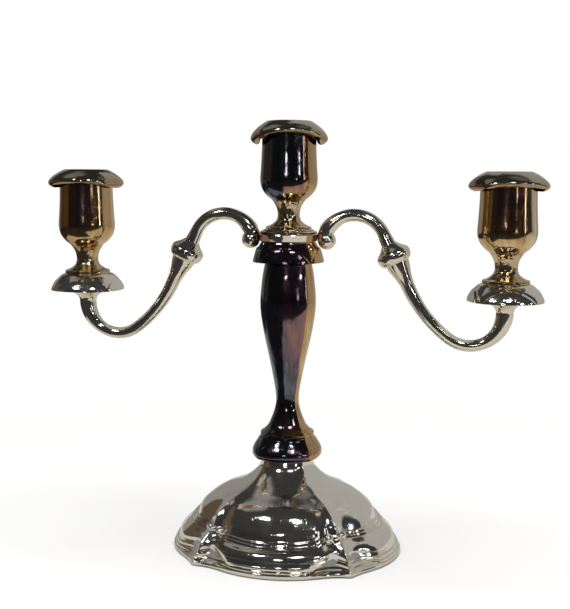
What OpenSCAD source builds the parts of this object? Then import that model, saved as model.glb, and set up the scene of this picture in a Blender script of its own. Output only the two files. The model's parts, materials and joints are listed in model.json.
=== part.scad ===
// Three-light candelabrum, silver plated. A weighted candlestick carries a drip pan and a lift-off
// branch: a hub with two curved arms, three cups on spools, and a loose nozzle in each cup.
// Millimetres, +Z up. The origin is on the table under the stem, the arms lie along X, and the
// front faces -Y. Every lobed piece has four convex panels, facing +X, -X, +Y and -Y, that meet
// in sharp corner creases.

/* [Overall] */
// Distance from the stem's axis to the axis of each side light
arm_reach = 125; // [123:0.5:128]
// Height of the hub's underside above the table
hub_z = 184; // [183.5:0.5:186]
// Height of the side spools' base above the table
side_light_z = 162.3; // [161:0.1:164]

/* [Foot] */
// Half length of the foot along the arms, at the table
foot_side_r = 68.5; // [66:0.5:72]
// Half width of the foot from front to back, at the table
foot_front_r = 57.8; // [56:0.1:60]
// Distance from the axis to each of the foot's four points
foot_point_r = 65.3; // [63:0.1:67]
// Height of the foot's top, where the knop sits
foot_h = 55.5; // [55:0.5:57]
// Radius of the foot's neck at that height
foot_neck_r = 14.8; // [14:0.1:16]
// Thickness of the foot's sheet metal
sheet_t = 1.2; // [1:0.1:1.5]
// Thickness of the felt under the foot
felt_t = 1.2; // [1:0.1:2]

/* [Stem] */
// Height of the knop between the foot and the stem
knop_h = 14; // [13.5:0.1:14.5]
// Largest radius of the knop, in the middle of a panel
knop_r = 20.4; // [19.5:0.1:22]
// Radius of the stem's shoulder, its widest place
shoulder_r = 16.3; // [15.8:0.1:17]
// Radius of the stem's waist, its narrowest place
waist_r = 6.75; // [6.5:0.05:7.5]
// Height of the drip pan that sits on the stem
pan_h = 12; // [11:0.5:12.5]

/* [Lights] */
// Height of a spool, between its base and the cup
spool_h = 17.1; // [16:0.1:19]
// Radius of a spool's waist
spool_waist_r = 6.3; // [5.8:0.1:7]
// Height from the cup's underside to the nozzle's top
light_h = 45.5; // [44:0.5:48]
// Largest radius of a cup, in the middle of a panel
cup_r = 16.7; // [16.5:0.1:18]
// Radius of the candle hole in a nozzle
candle_r = 11.2; // [11:0.05:11.3]
// Depth of the candle hole
candle_depth = 23; // [20:1:26]
// Radius of a nozzle's rim in the middle of a petal
rim_r = 22.4; // [21.5:0.1:23]
// How far the rim's four corners reach out beyond that
rim_corner = 1.4; // [1:0.1:2]
// How far each rim's front and back petals curve down: left, centre, right
rim_drop = [8.6, 7.6, 8.6]; // [7:0.1:9]
// How far each rim's side petals curve down: left, centre, right
rim_side_drop = [11, 13.5, 11]; // [10:0.1:14]
// How far the rim's corners curve down
rim_corner_drop = 9.4; // [9:0.1:10]
// Radius of a side pan's edge in the middle of a panel
side_pan_r = 21.2; // [20:0.1:22]
// Height of a side pan
side_pan_h = 9.9; // [9:0.1:11]

/* [Arms] */
// Radius of the arch next to the hub, on the arm's centre line
arch_r = 18.8; // [18:0.1:19.5]
// Distance of the arch's centre from the stem's axis
arch_x = 38.7; // [38:0.1:40]
// Height of the arch's centre below the hub's underside
arch_below = 3.2; // [2.5:0.1:4]
// Slope of the arm, below horizontal, where it passes through its collar
collar_slope = 64; // [62:1:67]
// Radius of the curl that turns the arm up under its pan
curl_r = 19.5; // [18:0.1:21]
// Radius of an arm's collar at its edge
arm_collar_r = 9.8; // [9:0.1:11]
// Radius of the scroll balls beside the hub
ball_r = 5.3; // [5:0.1:5.4]

/* [Assembly] */
// Angle at which each cup was screwed home: left, centre, right
cup_turn = [9, 7, 10]; // [-45:1:45]
// Angle at which each loose nozzle sits: left, centre, right
nozzle_turn = [3, 13, 13]; // [-45:1:45]
// Angle at which each side pan was screwed home: left, right
side_pan_turn = [1, 6]; // [-45:1:45]
// Angle of the stem against the foot
stem_turn = 5; // [-45:1:45]
// Angle of the knop against the foot
knop_turn = 3; // [-45:1:45]

/* [Fits] */
// Radial clearance of a tube that lifts or turns in another
slide_gap = 0.06; // [0.04:0.01:0.08]
// Radial clearance of a loose nozzle in its cup
nozzle_gap = 0.1; // [0.06:0.01:0.2]
// Clearance between pieces that are fastened together
joint_gap = 0.02; // [0.01:0.01:0.05]

/* [Hidden] */
$fn = 64;
LEFT = 0;
CENTRE = 1;
RIGHT = 2;
silver = [0.80, 0.78, 0.72];
gilt_tarnish = [0.42, 0.30, 0.16];
dark_tarnish = [0.16, 0.11, 0.13];
steel = [0.55, 0.56, 0.58];

// Facets around a lobed piece, around the foot, and around an arm
lobe_n = 32;
foot_n = 48;
arm_n = 16;
// Corner radius over panel radius, for the stem, for the cups and spools, and for the pans
stem_corner = 1.09;
cup_corner = 1.03;
pan_corner = 1.06;
neck_corner = 1.1;

// How far the foot's filling and base plate stay inside its outline
fill_inset = sheet_t + 0.9;

// Heights up the stem
base_plate_t = 0.8;
foot_edge_z = 0.6;
stem_z0 = foot_h + knop_h;
pan_z0 = hub_z - pan_h;
liner_floor = 3;
liner_depth = 22;
liner_z0 = pan_z0 - liner_depth;
hub_h = 6.6;
centre_light_z = hub_z + hub_h;
light_x = [-arm_reach, 0, arm_reach];
light_z = [side_light_z, centre_light_z, side_light_z];

// Radii of the tubes that nest in the stem, from the branch's spigot outwards
spigot_r = 11.04;
spigot_len = 26;
pan_tube_in = spigot_r + slide_gap;
pan_tube_out = pan_tube_in + 0.94;
liner_in = pan_tube_out + slide_gap;
liner_out = liner_in + 0.7;

// Fasteners
rod_r = 2.5;
rod_hole_r = 2.6;
rod_z0 = foot_h - 10;
washer_t = 1.2;
nut_t = 4;
stud_r = 2;
stud_hole_r = 2.12;
stud_below = 12;
cup_floor = 2;
stud_above = spool_h + cup_floor + 4;
cup_nut_t = 2.6;

// Cup and nozzle
cup_h = light_h - 2.2;
cup_mouth_t = 2;
bevel_r = candle_r + 2.8;
bevel_slope = 0.56;
nozzle_tube_r = candle_r + 1;
rim_t = 0.9;
rim_slope = 0.38;
rim_flat_r = nozzle_tube_r + 0.5;

// Arm: centre line in the plane y = 0, as angles from horizontal, positive upwards
arch_z = hub_z - arch_below;
arch_start = 148;
collar_up = 5.5;
collar_down = 3;
run_in = 7.8;
curl_join = -36;
curl_z = side_light_z - side_pan_h - 7;
arm_dir = [cos(collar_slope), -sin(collar_slope)];
arch_end = [arch_x, arch_z] + arch_r * [sin(collar_slope), cos(collar_slope)];
collar_top = arch_end + run_in * arm_dir;
collar_mid = collar_top + collar_up * arm_dir;
outer_start = collar_mid + (collar_down + 2 * joint_gap) * arm_dir;
curl_centre = [arm_reach - curl_r, curl_z];
curl_start = curl_centre + curl_r * [sin(curl_join), -cos(curl_join)];
// A straight run and one arc join the collar to the curl: solve for their length and radius
join_span = curl_start - outer_start;
turn_span = [sin(curl_join) + sin(collar_slope), cos(collar_slope) - cos(curl_join)];
join_det = arm_dir[0] * turn_span[1] - arm_dir[1] * turn_span[0];
straight_len = (join_span[0] * turn_span[1] - join_span[1] * turn_span[0]) / join_det;
sweep_r = (arm_dir[0] * join_span[1] - arm_dir[1] * join_span[0]) / join_det;
sweep_start = outer_start + straight_len * arm_dir;
sweep_centre = sweep_start + sweep_r * [sin(collar_slope), cos(collar_slope)];

// ---- Shapes that repeat ----

// Angle between direction a and the middle of the nearest panel
function fold(a) = abs((a + 45) % 90 - 45);

// Radius of a four-panel section at angle w from a panel's middle, for a panel radius of 1.
// Each panel is one circular arc, and c is the corner's radius.
function panel(w, c) =
    let (k = c / sqrt(2), arc = ((1 - k) ^ 2 + k ^ 2) / (2 * (1 - k)), off = 1 - arc)
    off * cos(w) + sqrt(arc ^ 2 - (off * sin(w)) ^ 2);

// Smooth curve through knots, with steps samples between neighbours
function spline(knots, steps) = [
    for (i = [0:len(knots) - 2], j = [0:steps - 1])
        let (t = j / steps, p1 = knots[i], p2 = knots[i + 1],
            p0 = i == 0 ? 2 * p1 - p2 : knots[i - 1],
            p3 = i == len(knots) - 2 ? 2 * p2 - p1 : knots[i + 2])
        0.5 * (2 * p1 + (p2 - p0) * t + (2 * p0 - 5 * p1 + 4 * p2 - p3) * t ^ 2
            + (3 * p1 - p0 - 3 * p2 + p3) * t ^ 3),
    knots[len(knots) - 1]];

// One level ring of a lobed piece
function lobe_ring(r, z, c, n = lobe_n) = [
    for (i = [0:n - 1])
        let (a = 360 * i / n, s = r * panel(fold(a), c))
        [s * cos(a), s * sin(a), z]];

function lobe_rings(profile, c) = [for (p = profile) lobe_ring(p[0], p[1], c)];

// Closed solid through rings of equal count, with a flat cap at each end
module loft(rings) {
    n = len(rings[0]);
    last = len(rings) - 1;
    share = [for (i = [1:n]) 1 / n];
    middles = [share * rings[0], share * rings[last]];
    points = concat([for (ring = rings) each ring], middles);
    low = len(points) - 2;
    sides = [for (j = [0:last - 1], i = [0:n - 1])
        let (p = j * n + i, q = j * n + (i + 1) % n)
        each [[p, p + n, q + n], [p, q + n, q]]];
    caps = [for (i = [0:n - 1])
        let (q = (i + 1) % n)
        each [[low, i, q], [low + 1, last * n + q, last * n + i]]];
    polyhedron(points, concat(sides, caps));
}

module tube(r_out, r_in, z0, z1) {
    difference() {
        translate([0, 0, z0]) cylinder(r = r_out, h = z1 - z0);
        translate([0, 0, z0 - 1]) cylinder(r = r_in, h = z1 - z0 + 2);
    }
}

module hole(r, z0, z1) {
    translate([0, 0, z0]) cylinder(r = r, h = z1 - z0);
}

module hex_nut(width, r_in, z0, t) {
    difference() {
        translate([0, 0, z0]) cylinder(d = width / cos(30), h = t, $fn = 6);
        hole(r_in, z0 - 1, z0 + t + 1);
    }
}

module at_light(i, turn = 0) {
    translate([light_x[i], 0, light_z[i]]) rotate([0, 0, turn]) children();
}

// ---- Foot ----

// Foot profile on the side panel: radius and height, from the edge up to the neck
foot_edge = [[0, foot_edge_z], [0, 2.6], [-1, 4.2], [-1.8, 6.2], [-3.5, 8]];
foot_band = [[-3.5, 8], [-7, 13.8], [-11, 17.6]];
foot_step = [[-11.8, 18.6], [-13.4, 19.2], [-15, 20.3]];
foot_body = [[-15, 20.3], [-18, 26.8], [-27, 33.8], [-39, 38.9], [-47, 44.5], [-51.8, 50], [-53.2, 55.5]];
foot_rise = foot_h / 55.5;
front_fullness = 0.82;
foot_reach = (foot_side_r - foot_neck_r) / 53.2;
foot_profile = [
    for (p = concat(foot_edge, [for (q = spline(foot_band, 2)) if (q[1] > 8) q],
            foot_step, [for (q = spline(foot_body, 2)) if (q[1] > 20.3) q]))
        [foot_side_r + p[0] * foot_reach, p[1] * foot_rise]];

// Radius of the foot at direction a, where the side panel's radius is side_r. The front and back
// panels are a little fuller, and towards the edge each panel's ends flick out to the foot's points.
function foot_r(a, side_r) =
    let (w = fold(a), to_side = abs(cos(a)) >= abs(sin(a)) - 0.001,
        t = (side_r - foot_neck_r) / (foot_side_r - foot_neck_r),
        front_r = foot_neck_r + max(t, 0) ^ front_fullness * (foot_front_r - foot_neck_r),
        corner_r = foot_neck_r * neck_corner + t * (foot_point_r - foot_neck_r * neck_corner),
        mid_r = to_side ? side_r : front_r,
        flick = (to_side ? 0.07 : 0.10) * max(t, 0) ^ 3)
    mid_r * panel(w, corner_r / mid_r * (1 - flick)) + corner_r * flick * (w / 45) ^ 7;

function foot_ring(side_r, z, inset = 0) = [
    for (i = [0:foot_n - 1])
        let (a = 360 * i / foot_n, s = foot_r(a, side_r) - inset)
        [s * cos(a), s * sin(a), z]];

// Rings of the foot's form from height z0 up, moved in and down by inset
function foot_rings(inset, z0) = concat(
    [foot_ring(foot_profile[0][0], z0, inset)],
    [for (p = foot_profile) if (p[1] - inset > z0 + 0.3) foot_ring(p[0], p[1] - inset, inset)]);

function reverse(list) = [for (i = [len(list) - 1:-1:0]) list[i]];

// One skin that runs down the inside of the foot, round its edge and up the outside
module foot_shell() {
    color(silver) difference() {
        loft(concat(reverse(foot_rings(sheet_t, foot_edge_z)), foot_rings(0, foot_edge_z)));
        hole(rod_hole_r, foot_h - 5, foot_h + 1);
    }
}

module foot_weight() {
    bottom = felt_t + base_plate_t + joint_gap;
    color("dimgray") difference() {
        loft(foot_rings(fill_inset, bottom));
        hole(8, bottom - 1, foot_h);
    }
}

module base_plate() {
    color("lightslategray") loft([
        foot_ring(foot_side_r, felt_t, fill_inset),
        foot_ring(foot_side_r, felt_t + base_plate_t, fill_inset)]);
}

module felt_pad() {
    color("darkgreen") loft([foot_ring(foot_side_r, 0, 2.5), foot_ring(foot_side_r, felt_t, 2.5)]);
}

// ---- Knop, stem and tie rod ----

knop_profile = [[0.85, 0], [0.945, 0.05], [1, 0.18], [0.99, 0.36], [0.93, 0.54], [0.86, 0.7], [0.80, 0.85],
    [0.765, 1]];

module lower_knop() {
    profile = [for (p = spline(knop_profile, 2)) [p[0] * knop_r, foot_h + p[1] * knop_h]];
    color(dark_tarnish) rotate([0, 0, knop_turn]) difference() {
        loft(lobe_rings(profile, stem_corner));
        hole(12, foot_h - 1, stem_z0 - 3);
        hole(rod_hole_r, foot_h, stem_z0 + 1);
    }
}

stem_top_r = 13.6;
stem_knots = [[15.6, stem_z0], [14.1, stem_z0 + 1.8], [10.4, stem_z0 + 6.8], [waist_r, stem_z0 + 19.7],
    [9.2, stem_z0 + 37.3], [14.3, stem_z0 + 61.3], [shoulder_r, pan_z0 - 26], [15.4, pan_z0 - 11],
    [stem_top_r, pan_z0]];
stem_wall = 1.5;
liner_seat_z = liner_z0 - liner_floor;

module stem() {
    inside = [for (p = spline(stem_knots, 2)) if (p[1] < liner_seat_z) [p[0] - stem_wall, p[1]]];
    last = len(inside) - 1;
    seat = liner_out + joint_gap;
    color(dark_tarnish) rotate([0, 0, stem_turn]) difference() {
        loft(lobe_rings(spline(stem_knots, 2), stem_corner));
        rotate_extrude() polygon(concat([[0, stem_z0 - 1], [inside[0][0], stem_z0 - 1]], inside,
            [[seat, liner_seat_z], [seat, pan_z0 + 1], [0, pan_z0 + 1]]));
    }
}

module stem_liner() {
    color(steel) difference() {
        hole(liner_out, liner_seat_z, pan_z0);
        hole(liner_in, liner_z0, pan_z0 + 1);
        hole(rod_hole_r, liner_seat_z - 1, liner_z0 + 1);
    }
}

module tie_rod() {
    color(steel) hole(rod_r, rod_z0, liner_z0 - 0.5);
}

module rod_washer() {
    color(steel) tube(6, rod_hole_r, foot_h - sheet_t - joint_gap - washer_t, foot_h - sheet_t - joint_gap);
}

module rod_nut() {
    bottom = foot_h - sheet_t - washer_t - nut_t - 2 * joint_gap;
    color("goldenrod") hex_nut(8, rod_r + joint_gap, bottom, nut_t);
}

// ---- Drip pan on the stem ----

pan_profile = [[1, 0], [0.99, 0.12], [0.955, 0.35], [0.915, 0.58], [0.855, 0.75], [0.81, 0.86], [0.77, 1]];
pan_r = 20.4;

module socket_pan() {
    profile = [for (p = spline(pan_profile, 2))
        [p[0] * pan_r, pan_z0 + joint_gap + p[1] * (pan_h - joint_gap)]];
    color(dark_tarnish) rotate([0, 0, knop_turn]) difference() {
        union() {
            loft(lobe_rings(profile, pan_corner));
            hole(pan_tube_out, liner_z0 + 1, pan_z0 + 1);
        }
        hole(pan_tube_in, liner_z0, hub_z + 1);
        rotate_extrude() polygon([[stem_top_r + 1.4, pan_z0 - 1], [pan_r - 1.3, pan_z0 - 1],
            [pan_r - 1.5, pan_z0 + 2], [pan_r - 3.6, pan_z0 + pan_h * 0.65],
            [stem_top_r + 1.4, pan_z0 + pan_h * 0.72]]);
    }
}

// ---- Branch: hub and spigot ----

hub_r = 18;
hub_profile = [[16.6, 0.06], [16.9, 0.3], [hub_r, 3.9], [17.2, 4.4], [16.4, 5.6], [14.6, 6.1], [13.6, hub_h]];

module branch_hub() {
    color(silver) difference() {
        loft([for (p = hub_profile) lobe_ring(p[0], hub_z + p[1], pan_corner)]);
        hole(stud_hole_r, hub_z - 1, hub_z + hub_h + 1);
    }
}

module branch_spigot() {
    top = hub_z + hub_profile[0][1];
    color(silver) difference() {
        hole(spigot_r, top - spigot_len, top);
        hole(spigot_r - 1.5, top - spigot_len - 1, top - 3);
        hole(stud_hole_r, top - 4, top + 1);
    }
}

// ---- Branch: arms ----

// Point at angle a on an arc of the centre line, as x, z, direction and tube radius
function arc_point(centre, r, dir, turn, tube_r) =
    [centre[0] + turn * r * sin(dir), centre[1] - turn * r * cos(dir), dir, tube_r];

// Ring of an arm around a centre line point
function arm_ring(p) = [
    for (i = [0:arm_n - 1])
        let (a = 360 * i / arm_n, up = p[3] * cos(a))
        [p[0] - up * sin(p[2]), -p[3] * sin(a), p[1] + up * cos(p[2])]];

function mix(a, b, t) = a + (b - a) * t;

// Smooth value that falls from 1 at t = 0 to 0 at t = 1
function ease(t) = t >= 1 ? 0 : (1 - t) ^ 2 * (1 + 2 * t);

arch_dir = arch_start - 90;
arm_thin_r = 3.6;

module inner_arm() {
    steps = 12;
    arch = [for (i = [0:steps])
        let (t = i / steps, dir = mix(arch_dir, -collar_slope, t))
        arc_point([arch_x, arch_z], arch_r, dir, -1, arm_thin_r + 0.9 * ease(t * 3))];
    root = [arch[0][0] - 1.2, arch[0][1] - 4, 80, arm_thin_r + 1];
    end = [collar_top[0], collar_top[1], -collar_slope, arm_thin_r + 0.7];
    stub_z = hub_z + 3;
    stub_start = hub_r * panel(0, pan_corner);
    color(silver) difference() {
        union() {
            loft([for (p = concat([root], arch, [end])) arm_ring(p)]);
            translate([stub_start - 0.5, 0, stub_z]) rotate([0, 90, 0]) cylinder(r = 2.2, h = 4);
        }
        ball_form(joint_gap);
        hub_clearance();
    }
}

// Space taken by the hub, a little over its own size
module hub_clearance() {
    loft([for (z = [hub_z - 1, hub_z + 5]) lobe_ring(hub_r + joint_gap, z, pan_corner)]);
}

ball_x = 22.6;
ball_z = hub_z + 0.7;

module ball_form(gap) {
    translate([ball_x, 0, ball_z]) sphere(r = ball_r + gap);
}

module scroll_ball() {
    color(silver) difference() {
        ball_form(0);
        hub_clearance();
    }
}

module arm_collar() {
    up = [[1, 0.1], [0.985, 0.9], [0.86, 2.2], [0.63, 3.6], [0.51, 5.1], [0.46, collar_up]];
    down = [[0.74, -collar_down], [0.88, -2.2], [0.99, -0.7]];
    rows = concat(down, up);
    color(silver) translate([collar_mid[0], 0, collar_mid[1]]) rotate([0, 90 + collar_slope - 180, 0])
        loft([for (p = rows) lobe_ring(p[0] * arm_collar_r, p[1], pan_corner, 24)]);
}

flange_r = 14;
boss_r = 5;
arm_end_z = side_light_z - side_pan_h;
pan_roof_t = 1.3;

// Tube radius along the outer arm, a fraction t of the way from the collar to the curl's end
function outer_tube_r(t) = 3.35 + 0.9 * ease(t * 2.2) + 3 * ease(t * 6.5) + 1.6 * ease((1 - t) * 4);

module outer_arm() {
    bend = [for (i = [0:8])
        let (dir = mix(-collar_slope, curl_join, i / 8))
        arc_point(sweep_centre, sweep_r, dir, 1, 0)];
    curl = [for (i = [1:12])
        let (dir = mix(curl_join, 90, i / 12))
        arc_point(curl_centre, curl_r, dir, 1, 0)];
    line = concat([[outer_start[0], outer_start[1], -collar_slope, 0]], bend, curl);
    last = len(line) - 1;
    rows = [for (i = [0:last]) [line[i][0], line[i][1], line[i][2], outer_tube_r(i / last)]];
    flare = [for (i = [1:4])
        let (t = 90 * i / 4)
        [arm_reach, mix(curl_z, arm_end_z - 0.8, sin(t)), 90, mix(rows[last][3], flange_r, 1 - cos(t))]];
    lip = [[arm_reach, arm_end_z, 90, flange_r]];
    color(silver) difference() {
        union() {
            loft([for (p = concat(rows, flare, lip)) arm_ring(p)]);
            translate([arm_reach, 0, 0]) hole(boss_r, arm_end_z - 1, side_light_z - pan_roof_t - joint_gap);
        }
        translate([arm_reach, 0, 0]) hole(stud_hole_r, side_light_z - stud_below - 1, side_light_z);
    }
}

// ---- Lights, each measured up from its spool's base ----

side_pan_profile = [[1, -1], [0.995, -0.93], [0.975, -0.78], [0.89, -0.46], [0.76, -0.15], [0.64, 0]];

module side_pan() {
    profile = [for (p = spline(side_pan_profile, 2)) [p[0] * side_pan_r, p[1] * side_pan_h]];
    wall = 1.3;
    color(silver) difference() {
        loft(lobe_rings(profile, pan_corner));
        rotate_extrude() polygon([[0, -side_pan_h - 1], [side_pan_r - wall, -side_pan_h - 1],
            [side_pan_r - wall, -side_pan_h + 1.1], [side_pan_r * 0.89 - wall, -0.5 * side_pan_h],
            [side_pan_r * 0.76 - wall, -0.22 * side_pan_h], [side_pan_r * 0.6 - wall, -pan_roof_t],
            [0, -pan_roof_t]]);
        hole(stud_hole_r, -2, 1);
    }
}

module side_pan_base() {
    color(silver) tube(side_pan_r - 1.3 - joint_gap, boss_r + joint_gap, -side_pan_h, -side_pan_h + 1);
}

spool_profile = [[13.2, 0], [13.3, 1.5], [12.2, 2.2], [9.4, 3.5], [7.3, 5.4], [spool_waist_r, 8.4], [7, 12.6],
    [8.7, 15.9], [9.6, 17.1]];

module spool() {
    profile = [for (p = spline(spool_profile, 2)) [p[0], p[1] * spool_h / 17.1]];
    color(gilt_tarnish) difference() {
        loft(lobe_rings(profile, cup_corner));
        hole(stud_hole_r, -1, spool_h + 1);
    }
}

cup_profile = [[0.565, 0], [0.78, 0.07], [0.935, 0.155], [1, 0.27], [0.975, 0.45], [0.945, 0.7], [0.94, 1]];

module cup(shade) {
    outside = [for (p = spline(cup_profile, 2)) [p[0] * cup_r, p[1] * cup_h]];
    wall = 1.3;
    inside = [for (p = outside)
        if (p[1] > cup_floor + 1 && p[1] < cup_h - cup_mouth_t - 1) [p[0] - wall, p[1]]];
    throat = inside[len(inside) - 1][0];
    color(shade) translate([0, 0, spool_h]) difference() {
        loft(lobe_rings(outside, cup_corner));
        rotate_extrude() polygon(concat([[0, cup_floor], [inside[0][0] - 3, cup_floor]], inside,
            [[throat, cup_h - cup_mouth_t], [0, cup_h - cup_mouth_t]]));
        hole(nozzle_tube_r + nozzle_gap, cup_h - cup_mouth_t - 1, cup_h + 1);
        // Bevel around the mouth, under the slope of the nozzle's rim
        rotate_extrude() polygon([[bevel_r, cup_h], [bevel_r, cup_h + 1], [20, cup_h + 1],
            [20, cup_h - bevel_slope * (20 - bevel_r)]]);
        hole(stud_hole_r, -1, cup_floor + 1);
    }
}

// Ring of light i's rim at fraction t from its flat top to its edge. Each petal slopes and rolls
// over until it tucks under a little, and the side petals hang lowest. The lower skin is the same
// dome one thickness down and in.
function rim_ring(i, t, skin) = [
    for (j = [0:lobe_n - 1])
        let (a = 360 * j / lobe_n, w = fold(a) / 45, k = w ^ 4, roll = mix(108, 84, k),
            middle_drop = abs(cos(a)) > abs(sin(a)) ? rim_side_drop[i] : rim_drop[i],
            edge_r = rim_r + rim_corner * k - skin, drop = mix(middle_drop, rim_corner_drop, w ^ 2.5) - skin,
            r = rim_flat_r + (edge_r - rim_flat_r) * sin(roll * t) / sin(min(roll, 90)),
            z = -skin - drop * mix((1 - cos(roll * t)) / (1 - cos(roll)), sin(min(roll * t, 90)), rim_slope))
        [r * cos(a), r * sin(a), z]];

module nozzle(i) {
    top = spool_h + light_h;
    steps = 6;
    color(silver) translate([0, 0, top]) difference() {
        union() {
            loft(concat(
                [for (j = [0:steps]) rim_ring(i, j / steps, rim_t)],
                [for (j = [steps:-1:0]) rim_ring(i, j / steps, 0)]));
            hole(nozzle_tube_r, -candle_depth - 1, -rim_t / 2);
        }
        hole(candle_r, -candle_depth, 1);
        translate([0, 0, -1.4]) cylinder(r1 = candle_r, r2 = candle_r + 1.4, h = 1.41);
    }
}

module cup_stud() {
    color(steel) hole(stud_r, -stud_below, stud_above);
}

module cup_nut() {
    color("goldenrod") hex_nut(7, stud_r + joint_gap, spool_h + cup_floor + joint_gap, cup_nut_t);
}

// ---- Pieces in their places ----

module right_inner_arm() { inner_arm(); }
module left_inner_arm() { mirror([1, 0, 0]) inner_arm(); }
module right_scroll_ball() { scroll_ball(); }
module left_scroll_ball() { mirror([1, 0, 0]) scroll_ball(); }
module right_arm_collar() { arm_collar(); }
module left_arm_collar() { mirror([1, 0, 0]) arm_collar(); }
module right_outer_arm() { outer_arm(); }
module left_outer_arm() { mirror([1, 0, 0]) outer_arm(); }
module left_pan() { at_light(LEFT, side_pan_turn[0]) side_pan(); }
module right_pan() { at_light(RIGHT, side_pan_turn[1]) side_pan(); }
module left_pan_base() { at_light(LEFT) side_pan_base(); }
module right_pan_base() { at_light(RIGHT) side_pan_base(); }
module left_spool() { at_light(LEFT, cup_turn[LEFT]) spool(); }
module centre_spool() { at_light(CENTRE, cup_turn[CENTRE]) spool(); }
module right_spool() { at_light(RIGHT, cup_turn[RIGHT]) spool(); }
module left_cup() { at_light(LEFT, cup_turn[LEFT]) cup(gilt_tarnish); }
module centre_cup() { at_light(CENTRE, cup_turn[CENTRE]) cup(dark_tarnish); }
module right_cup() { at_light(RIGHT, cup_turn[RIGHT]) cup(gilt_tarnish); }
module left_nozzle() { at_light(LEFT, nozzle_turn[LEFT]) nozzle(LEFT); }
module centre_nozzle() { at_light(CENTRE, nozzle_turn[CENTRE]) nozzle(CENTRE); }
module right_nozzle() { at_light(RIGHT, nozzle_turn[RIGHT]) nozzle(RIGHT); }
module cup_studs() { for (i = [LEFT:RIGHT]) at_light(i) cup_stud(); }
module cup_nuts() { for (i = [LEFT:RIGHT]) at_light(i) cup_nut(); }

foot_shell();
foot_weight();
base_plate();
felt_pad();
lower_knop();
stem();
stem_liner();
tie_rod();
rod_washer();
rod_nut();
socket_pan();
branch_hub();
branch_spigot();
left_inner_arm();
right_inner_arm();
left_scroll_ball();
right_scroll_ball();
left_arm_collar();
right_arm_collar();
left_outer_arm();
right_outer_arm();
left_pan();
right_pan();
left_pan_base();
right_pan_base();
left_spool();
centre_spool();
right_spool();
left_cup();
centre_cup();
right_cup();
left_nozzle();
centre_nozzle();
right_nozzle();
cup_studs();
cup_nuts();
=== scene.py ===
"""Looks of a three-light candelabrum in silver plate: fine meshes for every visible piece, tarnished
metals, a pale floor, a soft studio and a camera.

Lengths are in millimetres until make_mesh() turns them into metres. +Z is up, the arms lie along X
and the front faces -Y. Directions around a piece are in degrees.
"""

import json
import math

import bpy
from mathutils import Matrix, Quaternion, Vector


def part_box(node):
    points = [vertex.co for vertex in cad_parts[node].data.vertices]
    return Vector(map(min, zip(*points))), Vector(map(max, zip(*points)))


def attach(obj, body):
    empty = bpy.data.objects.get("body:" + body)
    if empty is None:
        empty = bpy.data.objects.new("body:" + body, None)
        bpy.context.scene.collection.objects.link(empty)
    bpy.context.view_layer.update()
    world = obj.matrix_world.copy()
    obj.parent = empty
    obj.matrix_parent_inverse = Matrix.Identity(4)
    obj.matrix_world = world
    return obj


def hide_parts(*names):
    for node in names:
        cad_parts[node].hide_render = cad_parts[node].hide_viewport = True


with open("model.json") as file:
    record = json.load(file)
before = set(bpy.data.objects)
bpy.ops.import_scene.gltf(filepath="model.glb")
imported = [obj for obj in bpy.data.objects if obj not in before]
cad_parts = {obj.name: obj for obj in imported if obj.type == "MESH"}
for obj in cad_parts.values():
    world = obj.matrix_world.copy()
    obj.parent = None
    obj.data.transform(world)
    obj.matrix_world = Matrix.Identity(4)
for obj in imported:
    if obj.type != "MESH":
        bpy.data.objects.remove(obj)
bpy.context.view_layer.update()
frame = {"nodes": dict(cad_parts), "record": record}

MM = 0.001


# ---- Places, read from the frame ----

def low(node):
    """Lowest corner of a CAD node's box."""
    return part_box(node)[0] / MM


def high(node):
    """Highest corner of a CAD node's box."""
    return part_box(node)[1] / MM


def corner_reach(node):
    """Farthest that a CAD node reaches diagonally, between +X and +Y."""
    vertices = frame["nodes"][node].data.vertices
    return max(v.co.x + v.co.y for v in vertices) / math.sqrt(2) / MM


FOOT_TOP = low("lower_knop").z
KNOP_TOP = low("stem").z
STEM_TOP = high("stem").z
PAN_BOTTOM = STEM_TOP
HUB_BOTTOM = high("socket_pan").z
CENTRE_LIGHT_Z = high("branch_hub").z
SIDE_LIGHT_Z = low("left_spool").z
SPOOL_H = low("centre_cup").z - CENTRE_LIGHT_Z
CUP_H = high("centre_cup").z - low("centre_cup").z
LIGHT_TOP = high("centre_nozzle").z - CENTRE_LIGHT_Z
SIDE_PAN_H = SIDE_LIGHT_Z - low("left_pan").z
REACH = (low("right_spool").x + high("right_spool").x) / 2
LIGHTS = {
    "left": (-REACH, SIDE_LIGHT_Z),
    "centre": (0.0, CENTRE_LIGHT_Z),
    "right": (REACH, SIDE_LIGHT_Z),
}

# Angles at which the pieces were screwed or dropped home
CUP_TURN = {"left": 9, "centre": 7, "right": 10}
NOZZLE_TURN = {"left": 3, "centre": 13, "right": 13}
SIDE_PAN_TURN = {"left": 1, "right": 6}
STEM_TURN = 5
KNOP_TURN = 3

# Corner radius over panel radius
STEM_CORNER = 1.09
CUP_CORNER = 1.03
PAN_CORNER = 1.06
NECK_CORNER = 1.1
ROUND = 1.0

# Mesh density: directions in a panel of a lobed piece and of the foot, and around an arm
PANEL_STEPS = 44
FOOT_PANEL_STEPS = 72
ARM_STEPS = 64


# ---- Shape formulas ----

def mix(a, b, t):
    return a + (b - a) * t


def clamp(value):
    return max(0.0, min(1.0, value))


def smooth(edge0, edge1, value):
    """Smooth rise from 0 at edge0 to 1 at edge1."""
    t = clamp((value - edge0) / (edge1 - edge0))
    return t * t * (3 - 2 * t)


def ease(t):
    """Smooth fall from 1 at t = 0 to 0 at t = 1."""
    return 0.0 if t >= 1 else (1 - t) ** 2 * (1 + 2 * t)


def sin(degrees):
    return math.sin(math.radians(degrees))


def cos(degrees):
    return math.cos(math.radians(degrees))


def fold(angle):
    """Angle between a direction and the middle of the nearest panel."""
    return abs((angle + 45) % 90 - 45)


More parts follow.
